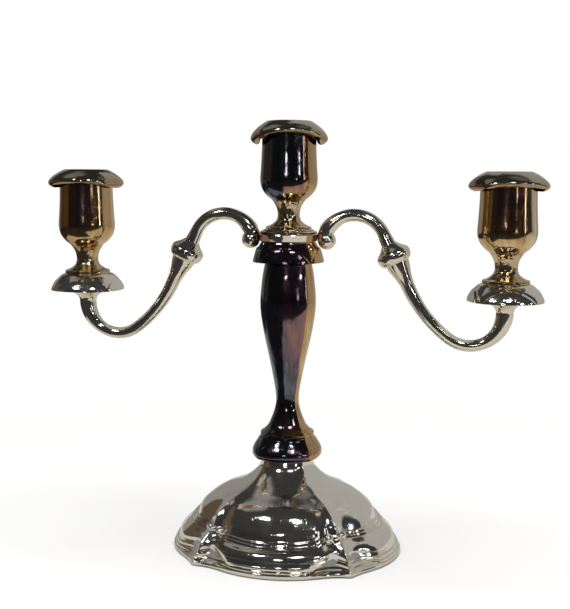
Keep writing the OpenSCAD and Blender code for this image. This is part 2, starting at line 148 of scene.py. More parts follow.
def soft_fold(angle, softness=0.9):
    """fold(), with the turn at the corner rounded over a few degrees, as a worn crease is."""
    away = 45 - fold(angle)
    return 45 - math.sqrt(away * away + softness * softness)


def panel(w, corner):
    """Radius of a four-panel section at angle w from a panel's middle, for a panel radius of 1."""
    k = corner / math.sqrt(2)
    arc = ((1 - k) ** 2 + k ** 2) / (2 * (1 - k))
    off = 1 - arc
    return off * cos(w) + math.sqrt(arc ** 2 - (off * sin(w)) ** 2)


def spline(knots, steps):
    """Smooth curve through knots of any width, with steps samples between neighbours."""
    def point(i):
        if i < 0:
            return [2 * a - b for a, b in zip(knots[0], knots[1])]
        if i >= len(knots):
            return [2 * a - b for a, b in zip(knots[-1], knots[-2])]
        return knots[i]

    samples = []
    for i in range(len(knots) - 1):
        for step in range(steps):
            t = step / steps
            samples.append(tuple(
                0.5 * (2 * p1 + (p2 - p0) * t + (2 * p0 - 5 * p1 + 4 * p2 - p3) * t ** 2
                       + (3 * p1 - p0 - 3 * p2 + p3) * t ** 3)
                for p0, p1, p2, p3 in zip(point(i - 1), point(i), point(i + 1), point(i + 2))))
    samples.append(tuple(knots[-1]))
    return samples


def directions(steps):
    """Directions around a four-panel piece, closer together near its corners."""
    found = []
    for quarter in range(4):
        for i in range(steps):
            u = 2 * i / steps - 1
            found.append(90 * quarter + 45 * (1.5 * u - 0.5 * u ** 3))
    return found


LOBE_DIRECTIONS = directions(PANEL_STEPS)
FOOT_DIRECTIONS = directions(FOOT_PANEL_STEPS)


# ---- Mesh building ----

def make_mesh(name, points, faces, crease=38):
    """Mesh object with smooth shading, sharp where two faces turn by more than crease degrees."""
    mesh = bpy.data.meshes.new(name)
    mesh.from_pydata([Vector(p) * MM for p in points], [], faces)
    mesh.shade_smooth()
    mesh.set_sharp_from_angle(angle=math.radians(crease))
    mesh.validate()
    piece = bpy.data.objects.new(name, mesh)
    bpy.context.scene.collection.objects.link(piece)
    return piece


def loft(name, rings, closed=False, crease=38):
    """Skin through rings of equal count. A closed skin joins its last ring to its first, and an
    open one ends in flat caps."""
    count = len(rings[0])
    points = [p for ring in rings for p in ring]
    pairs = len(rings) if closed else len(rings) - 1
    faces = []
    for j in range(pairs):
        here = j * count
        there = (j + 1) % len(rings) * count
        for i in range(count):
            k = (i + 1) % count
            faces.append((here + i, here + k, there + k, there + i))
    if not closed:
        for start, flip in ((0, True), ((len(rings) - 1) * count, False)):
            middle = sum((Vector(p) for p in points[start:start + count]), Vector()) / count
            points.append(tuple(middle))
            for i in range(count):
                k = (i + 1) % count
                edge = (start + k, start + i) if flip else (start + i, start + k)
                faces.append((len(points) - 1, *edge))
    return make_mesh(name, points, faces, crease)


def lobe_ring(r, z, corner, turn=0, centre=0.0, relief=None):
    """Level ring of a lobed piece. relief(w) is added to the radius at angle w from a panel's middle."""
    ring = []
    for a in LOBE_DIRECTIONS:
        w = soft_fold(a)
        s = r * panel(w, corner) + (relief(fold(a)) if relief else 0)
        ring.append((centre + s * cos(a + turn), s * sin(a + turn), z))
    return ring


def lobed(name, rows, turn, centre=0.0, base=0.0, relief=None):
    """Closed skin through rows of radius, height and corner ratio, around the upright axis at x =
    centre. relief(w, z) is added to the radius of rows whose corner ratio isn't ROUND."""
    rings = []
    for r, z, corner in rows:
        lift = (lambda w, z=z: relief(w, z)) if relief and corner != ROUND else None
        rings.append(lobe_ring(r, base + z, corner, turn, centre, lift))
    return loft(name, rings, closed=True)


def with_corner(profile, corner):
    return [(r, z, corner) for r, z in profile]


# From the middle of a panel to the foot of its arch, in degrees
ARCH_HALF_WIDTH = 39


def arch_relief(bottom, top, lift):
    """Relief of a raised panel under an arch: its edge runs up from each corner at height bottom to
    the middle at height top."""
    def relief(w, z):
        crown = mix(top, bottom, (w / ARCH_HALF_WIDTH) ** 2.4)
        return lift * (1 - smooth(crown - 0.35, crown + 0.35, z))
    return relief


# ---- Foot ----

FOOT_SIDE_R = high("foot_shell").x
FOOT_FRONT_R = high("foot_shell").y
FOOT_POINT_R = corner_reach("foot_shell")
FOOT_NECK_R = 14.8
SHEET_T = 1.2
ROD_HOLE_R = 2.6

# Foot profile on the side panel: inset from the edge, and height before FOOT_RISE. Three fine lines
# run round the outer edge and two round the inner moulding.
FOOT_EDGE = [
    (0.25, 0.6), (0, 0.9), (0, 2.3), (0.15, 2.6), (0.75, 2.75), (0.95, 3.0), (0.9, 3.9), (1.1, 4.3),
    (1.6, 4.45), (1.8, 4.75), (1.75, 5.6), (2.0, 6.1), (2.7, 6.25), (3.05, 6.6), (3.15, 7.3), (3.5, 8)]
FOOT_BAND = [(3.5, 8), (4.6, 11), (7, 13.8), (11, 17.6)]
FOOT_STEP = [
    (11.25, 17.65), (11.5, 17.5), (11.7, 17.7), (11.8, 18.8), (12.05, 19.1), (12.6, 19.2), (12.85, 19.05),
    (13.05, 19.25), (13.15, 20.3), (13.4, 20.6), (14.0, 20.7), (14.3, 20.6), (14.6, 20.7)]
FOOT_BODY = [(14.85, 21.1), (18, 26.8), (27, 33.8), (39, 38.9), (47, 44.5), (51.8, 50), (53.2, 55.5)]
NECK_INSET, PROFILE_TOP = FOOT_BODY[-1]
FOOT_RISE = FOOT_TOP / PROFILE_TOP

# The front panels are fuller than the sides, and their inner moulding sags in the middle
FRONT_FULLNESS = 0.82
FRONT_SAG = 3.2
# How far the points flick out, as a share of their reach
SIDE_FLICK = 0.07
FRONT_FLICK = 0.10
# The ogee before each point starts at an angle from the panel's middle. Inside the edge lines of the
# front panels it is narrower, and swings in less.
OGEE_START = 20
NARROW_OGEE_START = 31
NARROW_OGEE_SHARE = 0.7
# Brings the ogee's peak to 1
OGEE_SCALE = 6.75
# How far the edge lines rise in the ogee, and how far each line swings in, as inset and swing
EDGE_RISE = 1.6
SWING = [(0, 0.6), (0.7, 1.6), (1.2, 4.2), (3.5, 4.4), (7, 3.4), (13, 3.8), (18, 2.6), (27, 1.0), (39, 0),
         (54, 0)]


def along(table, x):
    """Value at x of a table of (x, value) pairs, joined by straight lines."""
    for (x0, v0), (x1, v1) in zip(table, table[1:]):
        if x <= x1:
            return mix(v0, v1, clamp((x - x0) / (x1 - x0)))
    return table[-1][1]


def foot_point(a, x, z, thickness):
    """Point of the foot at direction a, inset x and height z on the side panel's profile, thickness
    in from the outside."""
    w = soft_fold(a, 0.45)
    to_side = abs(cos(a)) >= abs(sin(a)) - 0.001
    t = 1 - x / NECK_INSET
    side_r = mix(FOOT_NECK_R, FOOT_SIDE_R, t)
    front_r = mix(FOOT_NECK_R, FOOT_FRONT_R, max(t, 0) ** FRONT_FULLNESS)
    corner_r = mix(FOOT_NECK_R * NECK_CORNER, FOOT_POINT_R, t)
    middle_r = side_r if to_side else front_r
    flick = (SIDE_FLICK if to_side else FRONT_FLICK) * max(t, 0) ** 3
    s = middle_r * panel(w, corner_r / middle_r * (1 - flick)) + corner_r * flick * (w / 45) ** 7
    # The ogee near each point, up to 1 at two thirds of the way to the corner
    narrow = 0 if to_side else smooth(1, 5, x)
    start = mix(OGEE_START, NARROW_OGEE_START, narrow)
    u = clamp((w - start) / (45 - start))
    ogee = OGEE_SCALE * u * u * (1 - u)
    s -= along(SWING, x) * ogee * mix(1, NARROW_OGEE_SHARE, narrow)
    rise = EDGE_RISE * ogee * smooth(0.6, 1.2, x) * (1 - smooth(3.5, 9, x))
    if not to_side:
        rise -= FRONT_SAG * (1 - (w / 45) ** 2) * smooth(5, 12, x) * (1 - smooth(14, 24, x))
    s -= thickness
    return (s * cos(a), s * sin(a), z * FOOT_RISE + rise)


def foot_ring(x, z, thickness=0.0):
    return [foot_point(a, x, z, thickness) for a in FOOT_DIRECTIONS]


def foot():
    """One skin up the outside, over the neck and down the inside of the foot."""
    body = spline(FOOT_BODY, 10)
    profile = FOOT_EDGE + spline(FOOT_BAND, 8)[1:] + FOOT_STEP + body
    outside = [foot_ring(x, z) for x, z in profile]
    plain = [(0.9, 0.6), (0.9, 2.6), (3.5, 7.4), (11, 17)] + body[::4]
    inside = [foot_ring(x, z - SHEET_T * smooth(0.6, 3, z), SHEET_T) for x, z in reversed(plain)]
    hole = [[(ROD_HOLE_R * cos(a), ROD_HOLE_R * sin(a), z) for a in FOOT_DIRECTIONS]
            for z in (FOOT_TOP, FOOT_TOP - SHEET_T)]
    return loft("silver_foot", outside + hole + inside, closed=True, crease=50)


BEAD_R = 2.2
SMALL_BEAD_R = 1.3
BEAD_INSET = 12.9
SMALL_BEAD_STEP = 1.2
BEAD_SPREAD = 4.8
BEAD_Z = 19.9
BEAD_STANDS_OUT = 0.7


def ball(name, centre, r, steps):
    rings = []
    for j in range(1, steps):
        level = 180 * j / steps
        rings.append([(centre[0] + r * sin(level) * cos(180 * i / steps),
                       centre[1] + r * sin(level) * sin(180 * i / steps),
                       centre[2] - r * cos(level)) for i in range(2 * steps)])
    return loft(name, rings)


def join(pieces, name):
    """One object made of several."""
    with bpy.context.temp_override(active_object=pieces[0], selected_editable_objects=pieces):
        bpy.ops.object.join()
    pieces[0].name = name
    pieces[0].data.name = name
    return pieces[0]


def foot_beads():
    """Stamped beads where the inner moulding meets each crease: a pair astride it and a small one."""
    beads = []
    for corner in (45, 135, 225, 315):
        for shift, r, step in ((-BEAD_SPREAD, BEAD_R, 0), (BEAD_SPREAD, BEAD_R, 0),
                               (0, SMALL_BEAD_R, SMALL_BEAD_STEP)):
            centre = foot_point(corner + shift, BEAD_INSET + step, BEAD_Z, -BEAD_STANDS_OUT)
            beads.append(ball("bead", centre, r, 20))
    return join(beads, "foot_beads")


# ---- Knop, stem and drip pan ----

KNOP_R = 20.4
KNOP_HOLLOW_R = 12
KNOP_TOP_T = 3
KNOP_PROFILE = [(0.85, 0), (0.945, 0.05), (1, 0.18), (0.99, 0.36), (0.93, 0.54), (0.86, 0.7), (0.80, 0.85),
                (0.765, 1)]


def knop():
    height = KNOP_TOP - FOOT_TOP
    outside = [(r * KNOP_R, z * height) for r, z in spline(KNOP_PROFILE, 9)]
    lip = [(0.80 * KNOP_R, 0), (0.845 * KNOP_R, 0)]
    ceiling = height - KNOP_TOP_T
    bore = [(ROD_HOLE_R, height), (ROD_HOLE_R, ceiling), (KNOP_HOLLOW_R, ceiling), (KNOP_HOLLOW_R, 0)]
    relief = arch_relief(0.5 * height, 0.86 * height, 0.25)
    rows = with_corner(lip + outside, STEM_CORNER) + with_corner(bore, ROUND)
    return lobed("knop_form", rows, KNOP_TURN, 0, FOOT_TOP, relief)


STEM_TOP_R = 13.6
WAIST_R = 6.75
SHOULDER_R = 16.3
STEM_WALL = 1.5
LINER_OUT = high("stem_liner").x
LINER_GAP = 0.02
LINER_LOW = low("stem_liner").z


def stem():
    knots = [(15.6, KNOP_TOP), (14.1, KNOP_TOP + 1.8), (10.4, KNOP_TOP + 6.8), (WAIST_R, KNOP_TOP + 19.7),
             (9.2, KNOP_TOP + 37.3), (14.3, KNOP_TOP + 61.3), (SHOULDER_R, STEM_TOP - 26),
             (15.4, STEM_TOP - 11), (STEM_TOP_R, STEM_TOP)]
    outside = spline(knots, 12)
    # A fine rolled lip where the stem sits on the knop
    lip = [(15.3, KNOP_TOP + 0.05), (15.75, KNOP_TOP + 0.1), (15.9, KNOP_TOP + 0.35),
           (15.8, KNOP_TOP + 0.65), (15.3, KNOP_TOP + 0.8)]
    skin = lip + [p for p in outside if p[1] > KNOP_TOP + 0.9]
    inside = [(r - STEM_WALL, z) for r, z in outside[::6] if z < LINER_LOW]
    seat = LINER_OUT + LINER_GAP
    bore = [(seat, STEM_TOP), (seat, LINER_LOW)]
    rows = with_corner(skin, STEM_CORNER) + with_corner(bore, ROUND) + with_corner(reversed(inside), ROUND)
    return lobed("stem_form", rows, STEM_TURN)


PAN_R = 20.4
PAN_PROFILE = [(1, 0), (0.99, 0.12), (0.955, 0.35), (0.915, 0.58), (0.855, 0.75), (0.81, 0.86), (0.77, 1)]
SPIGOT_BORE_R = 11.1
PAN_TUBE_R = 12.04


def socket_pan():
    height = HUB_BOTTOM - PAN_BOTTOM
    outside = [(r * PAN_R, z * height) for r, z in spline(PAN_PROFILE, 9)]
    foot_rim = [(PAN_R - 1.2, 0.15), (PAN_R - 0.5, 0.02)]
    tube_bottom = low("socket_pan").z - PAN_BOTTOM
    inside = [(SPIGOT_BORE_R, height), (SPIGOT_BORE_R, tube_bottom), (PAN_TUBE_R, tube_bottom),
              (PAN_TUBE_R, height * 0.72), (STEM_TOP_R + 1.4, height * 0.72), (PAN_R - 3.6, height * 0.65),
              (PAN_R - 1.5, 2)]
    relief = arch_relief(0.16 * height, 0.72 * height, 0.45)
    rows = with_corner(foot_rim + outside, PAN_CORNER) + with_corner(inside, ROUND)
    return lobed("socket_pan_form", rows, KNOP_TURN, 0, PAN_BOTTOM, relief)


# ---- Hub, arms and collars ----

HUB_PROFILE = [(16.4, 0.06), (16.7, 0.15), (16.9, 0.4), (17.85, 3.6), (18, 3.95), (17.9, 4.2), (17.5, 4.4),
               (16.7, 4.5), (16.5, 4.7), (16.7, 5.0), (16.6, 5.5), (16.1, 5.85), (15.3, 6.0), (14.9, 6.15),
               (14.8, 6.55), (14.3, 6.85), (13.5, 6.95)]
STUD_HOLE_R = 2.12


def hub():
    top = CENTRE_LIGHT_Z - HUB_BOTTOM
    bore = [(STUD_HOLE_R, top), (STUD_HOLE_R, 0.06)]
    rows = with_corner(HUB_PROFILE, PAN_CORNER) + with_corner(bore, ROUND)
    return lobed("hub_form", rows, 0, 0, HUB_BOTTOM)


# An arm's centre line: an arch from the hub, a straight run down through the collar, a sweep and a
# curl. Its directions are angles from the horizontal.
ARCH_R = 18.8
ARCH_X = 38.7
ARCH_Z = HUB_BOTTOM - 3.2
ARCH_DIR = 58
COLLAR_SLOPE = 64
COLLAR_UP = 5.5
COLLAR_DOWN = 3
COLLAR_GAP = 0.04
RUN_IN = 7.8
CURL_R = 19.5
CURL_JOIN = -36
CURL_DROP = 7
THIN_R = 3.6
# Root of an arm, sunk into its scroll ball: back and down from the arch's start, direction and radius
ARM_ROOT = [(1.5, 4.6, 82, 2.2), (1.3, 4.3, 80, THIN_R + 0.6), (1.0, 3.4, 78, THIN_R + 1.0),
            (0.4, 1.5, 66, THIN_R + 1.0)]
ARM_DIR = Vector((cos(COLLAR_SLOPE), -sin(COLLAR_SLOPE)))
ARCH_END = Vector((ARCH_X, ARCH_Z)) + ARCH_R * Vector((sin(COLLAR_SLOPE), cos(COLLAR_SLOPE)))
COLLAR_TOP = ARCH_END + RUN_IN * ARM_DIR
COLLAR_MID = COLLAR_TOP + COLLAR_UP * ARM_DIR
OUTER_START = COLLAR_MID + (COLLAR_DOWN + COLLAR_GAP) * ARM_DIR
ARM_END_Z = SIDE_LIGHT_Z - SIDE_PAN_H
CURL_CENTRE = Vector((REACH - CURL_R, ARM_END_Z - CURL_DROP))
FLANGE_R = 14
FLANGE_T = 0.8
BOSS_R = 5
BOSS_TOP_Z = SIDE_LIGHT_Z - 1.4


def arm_ring(x, z, direction, r, mirror):
    """Ring of an arm around a point of its centre line. mirror is -1 for the left arm."""
    ring = []
    for i in range(ARM_STEPS):
        a = 360 * i / ARM_STEPS
        up = r * cos(a)
        ring.append((mirror * (x - up * sin(direction)), -mirror * r * sin(a), z + up * cos(direction)))
    return ring


def arc_point(centre, r, direction, turn):
    return (centre[0] + turn * r * sin(direction), centre[1] - turn * r * cos(direction), direction)


def inner_arm(side, mirror):
    """Arm from the hub over its arch to the collar."""
    steps = 40
    rows = []
    for i in range(steps + 1):
        t = i / steps
        x, z, direction = arc_point((ARCH_X, ARCH_Z), ARCH_R, mix(ARCH_DIR, -COLLAR_SLOPE, t), -1)
        rows.append((x, z, direction, THIN_R + 0.9 * ease(t * 3)))
    start_x, start_z = rows[0][:2]
    root = [(start_x - back, start_z - down, direction, r) for back, down, direction, r in ARM_ROOT]
    end = [(*mix(ARCH_END, COLLAR_TOP, t), -COLLAR_SLOPE, THIN_R + 0.7 * t) for t in (0.25, 0.5, 0.75, 1)]
    return loft(f"{side}_inner_arm_form", [arm_ring(*row, mirror) for row in root + rows + end])


def scroll_ball(side, mirror):
    """Ball that ends the arm's scroll, against the hub."""
    node = f"{side}_scroll_ball"
    outer_x = high(node).x if mirror > 0 else -low(node).x
    ball_r = (high(node).z - low(node).z) / 2
    centre = (mirror * (outer_x - ball_r), 0, (high(node).z + low(node).z) / 2)
    return ball(f"{side}_scroll_ball_form", centre, ball_r, 48)


COLLAR_R = 9.8
COLLAR_ROWS = [(0.58, -5.2), (0.74, -5.1), (0.8, -4.85), (0.89, -4.1), (0.945, -3.1), (0.985, -1.8),
               (1, -0.6), (0.99, 0.5), (0.945, 1.5), (0.86, 2.4), (0.75, 3.3), (0.65, 4.2),
               (0.57, 5.1), (0.51, 5.9), (0.47, 6.4), (0.44, 6.5)]


def arm_collar(side, mirror):
    """Bell-shaped collar that joins the two lengths of an arm."""
    tilt = COLLAR_SLOPE - 90
    rings = []
    for r, z in spline(COLLAR_ROWS, 2):
        ring = []
        for x, y, up in lobe_ring(r * COLLAR_R, z, PAN_CORNER):
            # The collar's own axis points back up the arm
            ring.append((mirror * (COLLAR_MID[0] + x * cos(tilt) + up * sin(tilt)), mirror * y,
                         COLLAR_MID[1] - x * sin(tilt) + up * cos(tilt)))
        rings.append(ring)
    return loft(f"{side}_arm_collar_form", rings)


def outer_tube_r(t):
    """Tube radius a fraction t of the way from the collar to the curl's end."""
    return 3.35 + 0.9 * ease(t * 2.2) + 3.0 * ease(t * 6.5) + 1.6 * ease((1 - t) * 4)


def outer_arm(side, mirror):
    """Arm from the collar down through a sweep and a curl, flared out under its pan."""
    curl_start = CURL_CENTRE + CURL_R * Vector((sin(CURL_JOIN), -cos(CURL_JOIN)))
    span = curl_start - OUTER_START
    turn = Vector((sin(CURL_JOIN) + sin(COLLAR_SLOPE), cos(COLLAR_SLOPE) - cos(CURL_JOIN)))
    scale = ARM_DIR.cross(turn)
    straight = span.cross(turn) / scale
    sweep_r = ARM_DIR.cross(span) / scale
    sweep_start = OUTER_START + straight * ARM_DIR
    sweep_centre = sweep_start + sweep_r * Vector((sin(COLLAR_SLOPE), cos(COLLAR_SLOPE)))

    line = [(*mix(OUTER_START, sweep_start, i / 4), -COLLAR_SLOPE) for i in range(4)]
    line += [arc_point(sweep_centre, sweep_r, mix(-COLLAR_SLOPE, CURL_JOIN, i / 20), 1) for i in range(21)]
    line += [arc_point(CURL_CENTRE, CURL_R, mix(CURL_JOIN, 90, i / 40), 1) for i in range(1, 41)]
    lengths = [0.0]
    for p, q in zip(line, line[1:]):
        lengths.append(lengths[-1] + math.dist(p[:2], q[:2]))
    rows = [(*p, outer_tube_r(length / lengths[-1])) for p, length in zip(line, lengths)]

    # A quarter round flares the end out into a flange, and a boss stands on it inside the pan
    end_r = rows[-1][3]
    for i in range(1, 13):
        t = 90 * i / 12
        z = mix(CURL_CENTRE[1], ARM_END_Z - FLANGE_T, sin(t))
        rows.append((REACH, z, 90, mix(end_r, FLANGE_R, 1 - cos(t))))
    rows += [(REACH, ARM_END_Z, 90, FLANGE_R), (REACH, ARM_END_Z, 90, BOSS_R),
             (REACH, BOSS_TOP_Z, 90, BOSS_R)]
    return loft(f"{side}_outer_arm_form", [arm_ring(*row, mirror) for row in rows])


# ---- Side pans, spools, cups and nozzles ----

SIDE_PAN_R = 21.2
SIDE_PAN_PROFILE = [(1, -1), (0.995, -0.93), (0.975, -0.78), (0.89, -0.46), (0.76, -0.15), (0.64, 0)]


def side_pan(side):
    x, z = LIGHTS[side]
    wall = 1.3
    outside = [(r * SIDE_PAN_R, h * SIDE_PAN_H) for r, h in spline(SIDE_PAN_PROFILE, 9)]
    inside = [(STUD_HOLE_R, 0), (STUD_HOLE_R, -wall), (SIDE_PAN_R * 0.6 - wall, -wall),
              (SIDE_PAN_R * 0.76 - wall, -0.22 * SIDE_PAN_H),
              (SIDE_PAN_R * 0.89 - wall, -0.5 * SIDE_PAN_H),
              (SIDE_PAN_R - wall, 1.1 - SIDE_PAN_H), (SIDE_PAN_R - wall, -SIDE_PAN_H)]
    relief = arch_relief(-0.9 * SIDE_PAN_H, -0.3 * SIDE_PAN_H, 0.4)
    rows = with_corner(outside, PAN_CORNER) + with_corner(inside, ROUND)
    return lobed(f"{side}_pan_form", rows, SIDE_PAN_TURN[side], x, z, relief)


SPOOL_PROFILE = [(13.0, 0), (13.3, 0.3), (13.3, 1.5), (13.0, 1.9), (11.9, 2.2), (9.4, 3.5), (7.3, 5.4),
                 (6.4, 8.4), (7.0, 12.6), (8.7, 15.9), (9.6, 17.1)]


def spool(side):
    x, z = LIGHTS[side]
    outside = [(r, h * SPOOL_H / SPOOL_PROFILE[-1][1]) for r, h in spline(SPOOL_PROFILE, 8)]
    bore = [(STUD_HOLE_R, SPOOL_H), (STUD_HOLE_R, 0)]
    rows = with_corner(outside, CUP_CORNER) + with_corner(bore, ROUND)
    return lobed(f"{side}_spool_form", rows, CUP_TURN[side], x, z)


CUP_R = 16.7
CUP_FLOOR = 2
CUP_MOUTH_T = 2
# Bevel around the mouth, under the slope of the nozzle's rim
BEVEL_R = 14
BEVEL_SLOPE = 0.56
NOZZLE_TUBE_R = 12.2
CUP_PROFILE = [(0.565, 0), (0.78, 0.07), (0.935, 0.155), (1, 0.27), (0.975, 0.45), (0.945, 0.7), (0.94, 1)]


def cup(side):
    x, z = LIGHTS[side]
    wall = 1.3
    throat = NOZZLE_TUBE_R + 0.1
    wall_line = [(r * CUP_R, h * CUP_H) for r, h in spline(CUP_PROFILE, 10)]
    outside = [(min(r, BEVEL_R + (CUP_H - h) / BEVEL_SLOPE), h) for r, h in wall_line]
    cavity = [(r - wall, h) for r, h in outside[::5] if CUP_FLOOR + 1 < h < CUP_H - CUP_MOUTH_T - 1]
    inside = [(throat, CUP_H), (throat, CUP_H - CUP_MOUTH_T), (cavity[-1][0], CUP_H - CUP_MOUTH_T)]
    inside += reversed(cavity)
    inside += [(cavity[0][0] - 3, CUP_FLOOR), (STUD_HOLE_R, CUP_FLOOR), (STUD_HOLE_R, 0)]
    rows = with_corner(outside, CUP_CORNER) + with_corner(inside, ROUND)
    return lobed(f"{side}_cup_form", rows, CUP_TURN[side], x, z + SPOOL_H)


RIM_R = 22.4
RIM_CORNER = 1.4
# How far the rim curves down at the front and back, at the sides and at its corners
RIM_DROPS = {"left": (8.6, 11, 9.4), "centre": (7.6, 13.5, 9.4), "right": (8.6, 11, 9.4)}
# How far it rolls over at the same places
RIM_ROLLS = (126, 138, 96)
# Share of its fall that starts as a slope at the flat top
RIM_SLOPE = 0.38
RIM_FLAT_R = 12.7
RIM_T = 0.9
CANDLE_R = 11.2
CANDLE_DEPTH = 23


def rim_ring(t, skin, x, top, turn, drops):
    """Ring of the rim a fraction t from its flat top to its edge. Each petal slopes, rolls over and
    tucks under, less so at its corners, and the side petals hang lower than the front one."""
    ring = []
    for a in LOBE_DIRECTIONS:
        w = max(soft_fold(a, 1.2), 0) / 45
        k = w ** 4
        sideways = smooth(0.3, 0.7, cos(a) ** 2)
        roll = mix(mix(RIM_ROLLS[0], RIM_ROLLS[1], sideways), RIM_ROLLS[2], k)
        widest = sin(min(roll, 90))
        edge_r = RIM_R + RIM_CORNER * k - skin
        drop = mix(mix(drops[0], drops[1], sideways), drops[2], w ** 2.5) - skin
        r = RIM_FLAT_R + (edge_r - RIM_FLAT_R) * sin(roll * t) / widest
        fall = mix((1 - cos(roll * t)) / (1 - cos(roll)), sin(min(roll * t, 90)), RIM_SLOPE)
        z = -skin - drop * fall
        ring.append((x + r * cos(a + turn), r * sin(a + turn), top + z))
    return ring


def nozzle(side):
    x, z = LIGHTS[side]
    top = z + LIGHT_TOP
    turn = NOZZLE_TURN[side]

    def level(r, depth):
        return [(x + r * cos(a + turn), r * sin(a + turn), top - depth) for a in LOBE_DIRECTIONS]

    steps = 26
    rings = [level(NOZZLE_TUBE_R, CANDLE_DEPTH + 1), level(NOZZLE_TUBE_R, RIM_T)]
    drops = RIM_DROPS[side]
    rings += [rim_ring(i / steps, RIM_T, x, top, turn, drops) for i in range(steps + 1)]
    rings += [rim_ring(i / steps, 0, x, top, turn, drops) for i in range(steps, -1, -1)]
    mouth = [(CANDLE_R + 1.4, 0.05), (CANDLE_R + 0.5, 0.5), (CANDLE_R, 1.4), (CANDLE_R, CANDLE_DEPTH)]
    rings += [level(r, depth) for r, depth in mouth]
    return loft(f"{side}_nozzle_form", rings)


# ---- Node helpers for materials ----

class Shader:
    """Short calls that add nodes to a material or a world."""

    def __init__(self, owner):
        owner.use_nodes = True
        self.tree = owner.node_tree
        self.tree.nodes.clear()

    def node(self, kind, inputs=None, **settings):
        made = self.tree.nodes.new(kind)
        for name, value in settings.items():
            setattr(made, name, value)
        for name, value in (inputs or {}).items():
            self.feed(made.inputs[name], value)
        return made

    def feed(self, socket, value):
        if isinstance(value, bpy.types.NodeSocket):
            self.tree.links.new(value, socket)
        else:
            socket.default_value = value

    def surface(self, shader, kind="ShaderNodeOutputMaterial"):
        """Makes a shader node the surface of the material or world."""
        output = self.node(kind)
        self.tree.links.new(shader.outputs[0], output.inputs["Surface"])

    def math(self, operation, a, b=0.0):
        return self.node("ShaderNodeMath", {0: a, 1: b}, operation=operation).outputs[0]

    def swing(self, noise, amount):
        """Turns noise about 0.5 into amount times as much about 0."""
        return self.math("MULTIPLY", self.math("SUBTRACT", noise, 0.5), amount)

    def smooth(self, value, low_edge, high_edge, low_value=0.0, high_value=1.0):
        """Smooth rise from low_value at low_edge to high_value at high_edge."""
        inputs = {"Value": value, "From Min": low_edge, "From Max": high_edge,
                  "To Min": low_value, "To Max": high_value}
        return self.node("ShaderNodeMapRange", inputs, interpolation_type="SMOOTHSTEP").outputs[0]

    def noise(self, vector, scale, detail, roughness=0.55, distortion=0.0):
        inputs = {"Vector": vector, "Scale": scale, "Detail": detail, "Roughness": roughness,
                  "Distortion": distortion}
        return self.node("ShaderNodeTexNoise", inputs).outputs["Fac"]

    def stretched(self, vector, scale, rotation=(0, 0, 0)):
        inputs = {"Vector": vector, "Scale": scale, "Rotation": [math.radians(v) for v in rotation]}
        return self.node("ShaderNodeMapping", inputs).outputs[0]

    def ramp(self, value, stops):
        """Colour ramp through (position, colour) stops."""
        made = self.node("ShaderNodeValToRGB", {"Fac": value})
        elements = made.color_ramp.elements
        while len(elements) < len(stops):
            elements.new(0.5)
        for element, (position, colour) in zip(elements, stops):
            element.position = position
            element.color = (*colour, 1)
        return made.outputs["Color"]

    def mix_colour(self, share, a, b, blend="MIX"):
        made = self.node("ShaderNodeMix", data_type="RGBA", blend_type=blend)
        self.feed(made.inputs[0], share)
        self.feed(made.inputs[6], a if isinstance(a, bpy.types.NodeSocket) else (*a, 1))
        self.feed(made.inputs[7], b if isinstance(b, bpy.types.NodeSocket) else (*b, 1))
        return made.outputs[2]


# Colours of silver under a growing film of tarnish
FILM = [
    (0.00, (0.93, 0.91, 0.87)),
    (0.12, (0.88, 0.84, 0.73)),
    (0.26, (0.80, 0.66, 0.42)),
    (0.40, (0.62, 0.41, 0.19)),
    (0.52, (0.42, 0.23, 0.13)),
    (0.62, (0.29, 0.175, 0.14)),
    (0.69, (0.25, 0.14, 0.165)),
    (0.78, (0.165, 0.115, 0.14)),
    (0.88, (0.095, 0.10, 0.11)),
    (1.00, (0.20, 0.25, 0.33)),
]
POLISHED_ROUGHNESS = 0.07
SCRATCH_STRENGTH = 0.25


